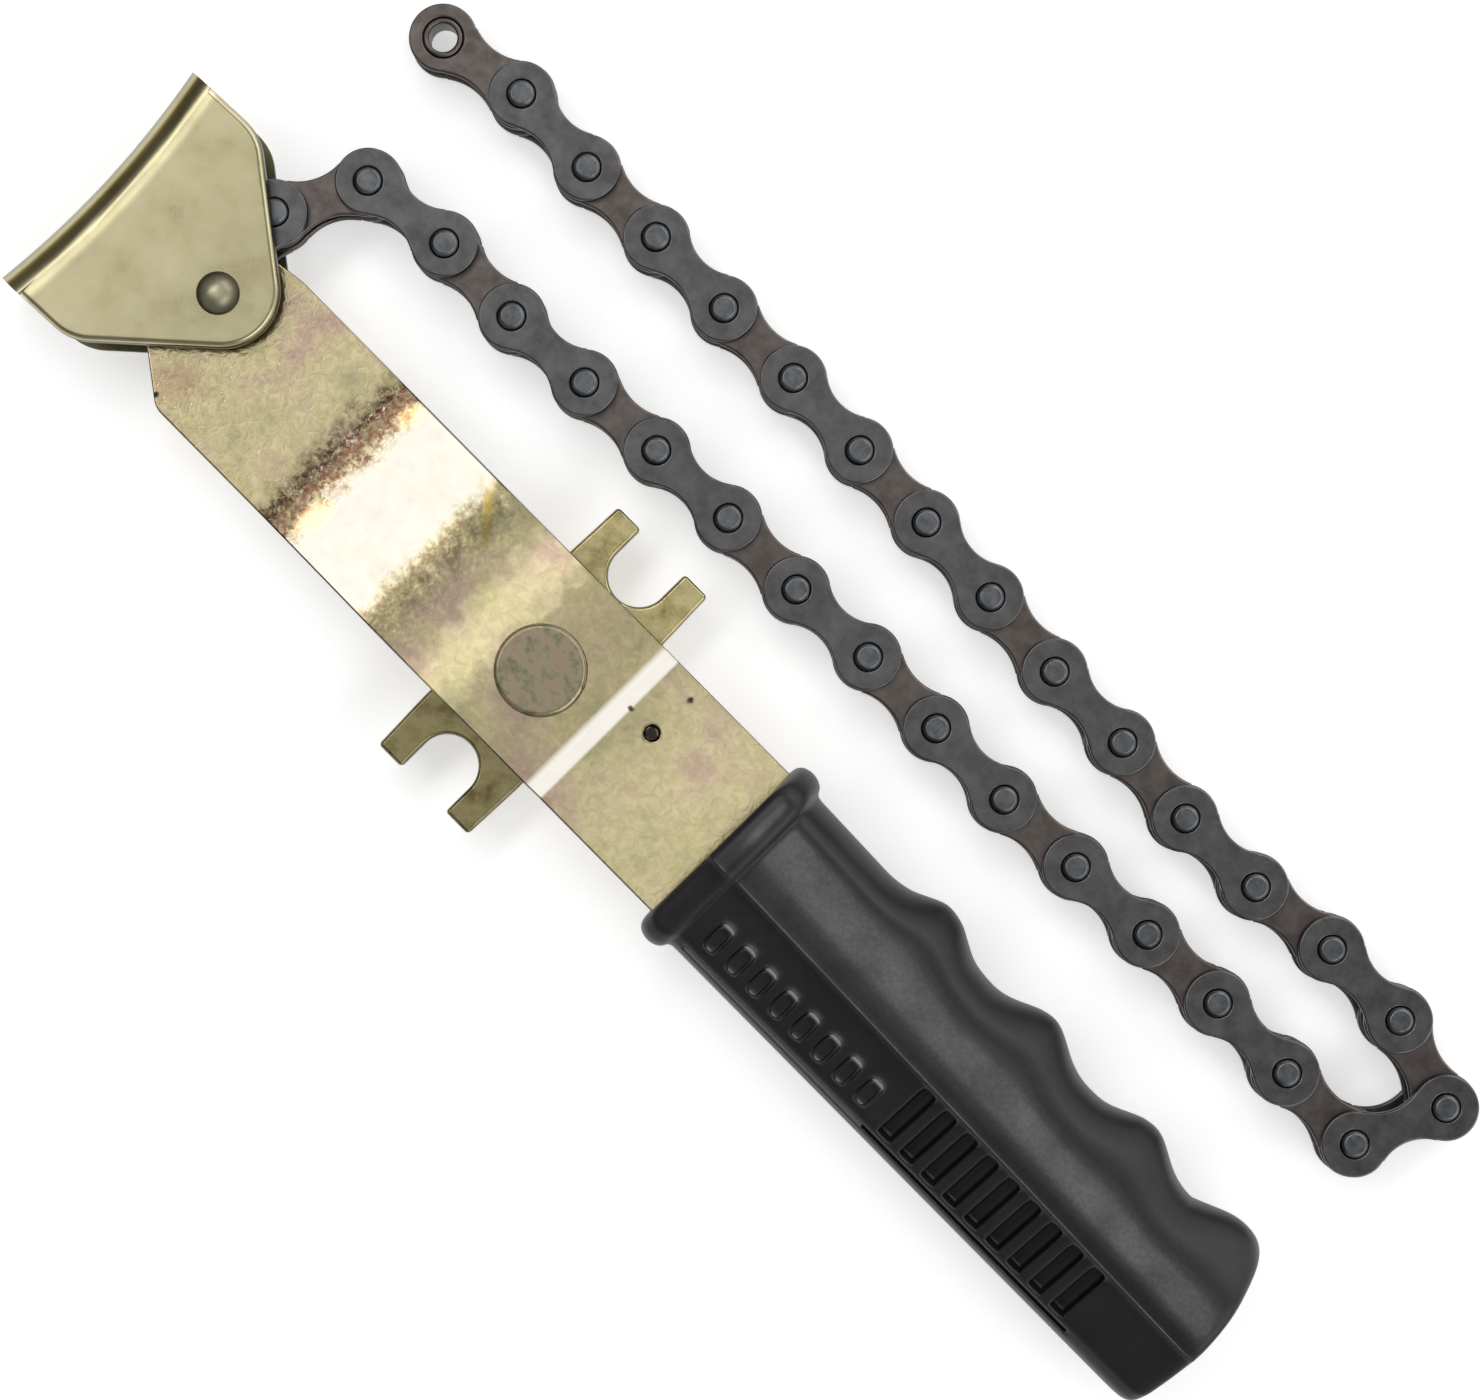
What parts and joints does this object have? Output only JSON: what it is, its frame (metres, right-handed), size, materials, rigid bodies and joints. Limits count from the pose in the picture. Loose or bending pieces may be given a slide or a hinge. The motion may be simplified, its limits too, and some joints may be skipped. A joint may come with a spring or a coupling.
{
  "type": "chain oil filter wrench",
  "caption": "Lever wrench with a pivoting hollow jaw, a long roller chain on the same rivet, a forked catch plate that locks the chain, and a moulded grip.",
  "frame": {"origin": "on the head rivet's axis, at the flat rear end of the rivet, level with the jaw's rear cheek", "axes": "+X from the head rivet along the lever to the grip, +Y across the lever towards the chain, +Z along the rivet towards its round head"},
  "size_m": [0.2129, 0.0767, 0.02],
  "materials": {
    "zinc_plate": "yellow passivated zinc, satin",
    "rivet_steel": "dull plated",
    "chain_outer": "black oxide, lightly oiled",
    "chain_inner": "black oxide, lightly oiled",
    "chain_pin": "black oxide, ends worn bright",
    "grip_rubber": "matt, moulded"
  },
  "bodies": {
    "lever": {"lever_bar": "zinc_plate", "catch_plate": "zinc_plate", "catch_rivet": "zinc_plate", "grip": "grip_rubber", "head_rivet": "rivet_steel"},
    "jaw": {"jaw_shoe": "zinc_plate"},
    "outer_link_1": {"outer_plates_1": "chain_outer", "link_pins_1": "chain_pin"},
    "inner_link_1": {"inner_link_1": "chain_inner"},
    "outer_link_2": {"outer_plates_2": "chain_outer", "link_pins_2": "chain_pin"},
    "inner_link_2": {"inner_link_2": "chain_inner"},
    "outer_link_3": {"outer_plates_3": "chain_outer", "link_pins_3": "chain_pin"},
    "inner_link_3": {"inner_link_3": "chain_inner"},
    "outer_link_4": {"outer_plates_4": "chain_outer", "link_pins_4": "chain_pin"},
    "inner_link_4": {"inner_link_4": "chain_inner"},
    "outer_link_5": {"outer_plates_5": "chain_outer", "link_pins_5": "chain_pin"},
    "inner_link_5": {"inner_link_5": "chain_inner"},
    "outer_link_6": {"outer_plates_6": "chain_outer", "link_pins_6": "chain_pin"},
    "inner_link_6": {"inner_link_6": "chain_inner"},
    "outer_link_7": {"outer_plates_7": "chain_outer", "link_pins_7": "chain_pin"},
    "inner_link_7": {"inner_link_7": "chain_inner"},
    "outer_link_8": {"outer_plates_8": "chain_outer", "link_pins_8": "chain_pin"},
    "inner_link_8": {"inner_link_8": "chain_inner"},
    "outer_link_9": {"outer_plates_9": "chain_outer", "link_pins_9": "chain_pin"},
    "inner_link_9": {"inner_link_9": "chain_inner"},
    "outer_link_10": {"outer_plates_10": "chain_outer", "link_pins_10": "chain_pin"},
    "inner_link_10": {"inner_link_10": "chain_inner"},
    "outer_link_11": {"outer_plates_11": "chain_outer", "link_pins_11": "chain_pin"},
    "inner_link_11": {"inner_link_11": "chain_inner"},
    "outer_link_12": {"outer_plates_12": "chain_outer", "link_pins_12": "chain_pin"},
    "inner_link_12": {"inner_link_12": "chain_inner"},
    "outer_link_13": {"outer_plates_13": "chain_outer", "link_pins_13": "chain_pin"},
    "inner_link_13": {"inner_link_13": "chain_inner"},
    "outer_link_14": {"outer_plates_14": "chain_outer", "link_pins_14": "chain_pin"},
    "inner_link_14": {"inner_link_14": "chain_inner"},
    "outer_link_15": {"outer_plates_15": "chain_outer", "link_pins_15": "chain_pin"},
    "inner_link_15": {"inner_link_15": "chain_inner"},
    "outer_link_16": {"outer_plates_16": "chain_outer", "link_pins_16": "chain_pin"},
    "inner_link_16": {"inner_link_16": "chain_inner"}
  },
  "joints": [
    {"name": "jaw_pivot", "type": "hinge", "parent": "lever", "child": "jaw", "pos_m": [0, 0, 0.007], "axis": [0, 0, 1], "range_deg": [-30, 60]},
    {"name": "chain_joint_1", "type": "hinge", "parent": "lever", "child": "outer_link_1", "pos_m": [0, 0, 0.007], "axis": [0, 0, 1], "range_deg": [-2.5, 35]},
    {"name": "chain_joint_2", "type": "hinge", "parent": "outer_link_1", "child": "inner_link_1", "pos_m": [-0.00286, 0.01237, 0.00688], "axis": [0, 0, 1], "range_deg": [-2.5, 50]},
    {"name": "chain_joint_3", "type": "hinge", "parent": "inner_link_1", "child": "outer_link_2", "pos_m": [0.00271, 0.02379, 0.00676], "axis": [0, 0, 1], "range_deg": [-2.5, 50]},
    {"name": "chain_joint_4", "type": "hinge", "parent": "outer_link_2", "child": "inner_link_2", "pos_m": [0.01534, 0.02512, 0.00664], "axis": [0, 0, -1], "range_deg": [-38, 3]},
    {"name": "chain_joint_5", "type": "hinge", "parent": "inner_link_2", "child": "outer_link_3", "pos_m": [0.02803, 0.02467, 0.00652], "axis": [0, 0, -1], "range_deg": [-22, 3]},
    {"name": "chain_joint_6", "type": "hinge", "parent": "outer_link_3", "child": "inner_link_3", "pos_m": [0.04072, 0.02534, 0.0064], "axis": [0, 0, -1], "range_deg": [-14, 3.5]},
    {"name": "chain_joint_7", "type": "hinge", "parent": "inner_link_3", "child": "outer_link_4", "pos_m": [0.05341, 0.02578, 0.00628], "axis": [0, 0, -1], "range_deg": [-11, 4]},
    {"name": "chain_joint_8", "type": "hinge", "parent": "outer_link_4", "child": "inner_link_4", "pos_m": [0.0661, 0.02622, 0.00616], "axis": [0, 0, -1], "range_deg": [-8, 4]},
    {"name": "chain_joint_9", "type": "hinge", "parent": "inner_link_4", "child": "outer_link_5", "pos_m": [0.0788, 0.026, 0.00604], "axis": [0, 0, -1], "range_deg": [-7, 5]},
    {"name": "chain_joint_10", "type": "hinge", "parent": "outer_link_5", "child": "inner_link_5", "pos_m": [0.09149, 0.02645, 0.00592], "axis": [0, 0, -1], "range_deg": [-5, 6]},
    {"name": "chain_joint_11", "type": "hinge", "parent": "inner_link_5", "child": "outer_link_6", "pos_m": [0.10419, 0.02622, 0.0058], "axis": [0, 0, -1], "range_deg": [-5, 7]},
    {"name": "chain_joint_12", "type": "hinge", "parent": "outer_link_6", "child": "inner_link_6", "pos_m": [0.11689, 0.026, 0.00568], "axis": [0, 0, -1], "range_deg": [-4.5, 9]},
    {"name": "chain_joint_13", "type": "hinge", "parent": "inner_link_6", "child": "outer_link_7", "pos_m": [0.12958, 0.02645, 0.00556], "axis": [0, 0, -1], "range_deg": [-3.5, 12]},
    {"name": "chain_joint_14", "type": "hinge", "parent": "outer_link_7", "child": "inner_link_7", "pos_m": [0.14227, 0.02689, 0.00544], "axis": [0, 0, -1], "range_deg": [-3.5, 16]},
    {"name": "chain_joint_15", "type": "hinge", "parent": "inner_link_7", "child": "outer_link_8", "pos_m": [0.15497, 0.02711, 0.00532], "axis": [0, 0, -1], "range_deg": [-3, 25]},
    {"name": "chain_joint_16", "type": "hinge", "parent": "outer_link_8", "child": "inner_link_8", "pos_m": [0.16767, 0.02711, 0.0052], "axis": [0, 0, -1], "range_deg": [-2.5, 60]},
    {"name": "chain_joint_17", "type": "hinge", "parent": "inner_link_8", "child": "outer_link_9", "pos_m": [0.18037, 0.02689, 0.00508], "axis": [0, 0, 1], "range_deg": [-90, 2.5]},
    {"name": "chain_joint_18", "type": "hinge", "parent": "outer_link_9", "child": "inner_link_9", "pos_m": [0.18533, 0.03858, 0.00496], "axis": [0, 0, 1], "range_deg": [-110, 2.5]},
    {"name": "chain_joint_19", "type": "hinge", "parent": "inner_link_9", "child": "outer_link_10", "pos_m": [0.17318, 0.04229, 0.00484], "axis": [0, 0, 1], "range_deg": [-40, 2.5]},
    {"name": "chain_joint_20", "type": "hinge", "parent": "outer_link_10", "child": "inner_link_10", "pos_m": [0.16049, 0.04251, 0.00472], "axis": [0, 0, -1], "range_deg": [-2.5, 40]},
    {"name": "chain_joint_21", "type": "hinge", "parent": "inner_link_10", "child": "outer_link_11", "pos_m": [0.14786, 0.04119, 0.00469], "axis": [0, 0, 1], "range_deg": [-40, 3]},
    {"name": "chain_joint_22", "type": "hinge", "parent": "outer_link_11", "child": "inner_link_11", "pos_m": [0.13516, 0.04097, 0.00469], "axis": [0, 0, -1], "range_deg": [-3, 40]},
    {"name": "chain_joint_23", "type": "hinge", "parent": "inner_link_11", "child": "outer_link_12", "pos_m": [0.12251, 0.04207, 0.00469], "axis": [0, 0, 1], "range_deg": [-40, 4]},
    {"name": "chain_joint_24", "type": "hinge", "parent": "outer_link_12", "child": "inner_link_12", "pos_m": [0.10981, 0.04229, 0.00469], "axis": [0, 0, -1], "range_deg": [-4, 40]},
    {"name": "chain_joint_25", "type": "hinge", "parent": "inner_link_12", "child": "outer_link_13", "pos_m": [0.09714, 0.04318, 0.00469], "axis": [0, 0, 1], "range_deg": [-40, 5]},
    {"name": "chain_joint_26", "type": "hinge", "parent": "outer_link_13", "child": "inner_link_13", "pos_m": [0.08447, 0.04407, 0.00469], "axis": [0, 0, -1], "range_deg": [-6, 40]},
    {"name": "chain_joint_27", "type": "hinge", "parent": "inner_link_13", "child": "outer_link_14", "pos_m": [0.07178, 0.04451, 0.00469], "axis": [0, 0, 1], "range_deg": [-40, 7]},
    {"name": "chain_joint_28", "type": "hinge", "parent": "outer_link_14", "child": "inner_link_14", "pos_m": [0.05909, 0.04495, 0.00469], "axis": [0, 0, -1], "range_deg": [-9, 40]},
    {"name": "chain_joint_29", "type": "hinge", "parent": "inner_link_14", "child": "outer_link_15", "pos_m": [0.04639, 0.04495, 0.00469], "axis": [0, 0, 1], "range_deg": [-40, 11]},
    {"name": "chain_joint_30", "type": "hinge", "parent": "outer_link_15", "child": "inner_link_15", "pos_m": [0.03369, 0.04517, 0.00469], "axis": [0, 0, -1], "range_deg": [-15, 40]},
    {"name": "chain_joint_31", "type": "hinge", "parent": "inner_link_15", "child": "outer_link_16", "pos_m": [0.02099, 0.04517, 0.00469], "axis": [0, 0, 1], "range_deg": [-40, 22]},
    {"name": "chain_joint_32", "type": "hinge", "parent": "outer_link_16", "child": "inner_link_16", "pos_m": [0.0083, 0.04584, 0.00469], "axis": [0, 0, -1], "range_deg": [-50, 90]}
  ]
}
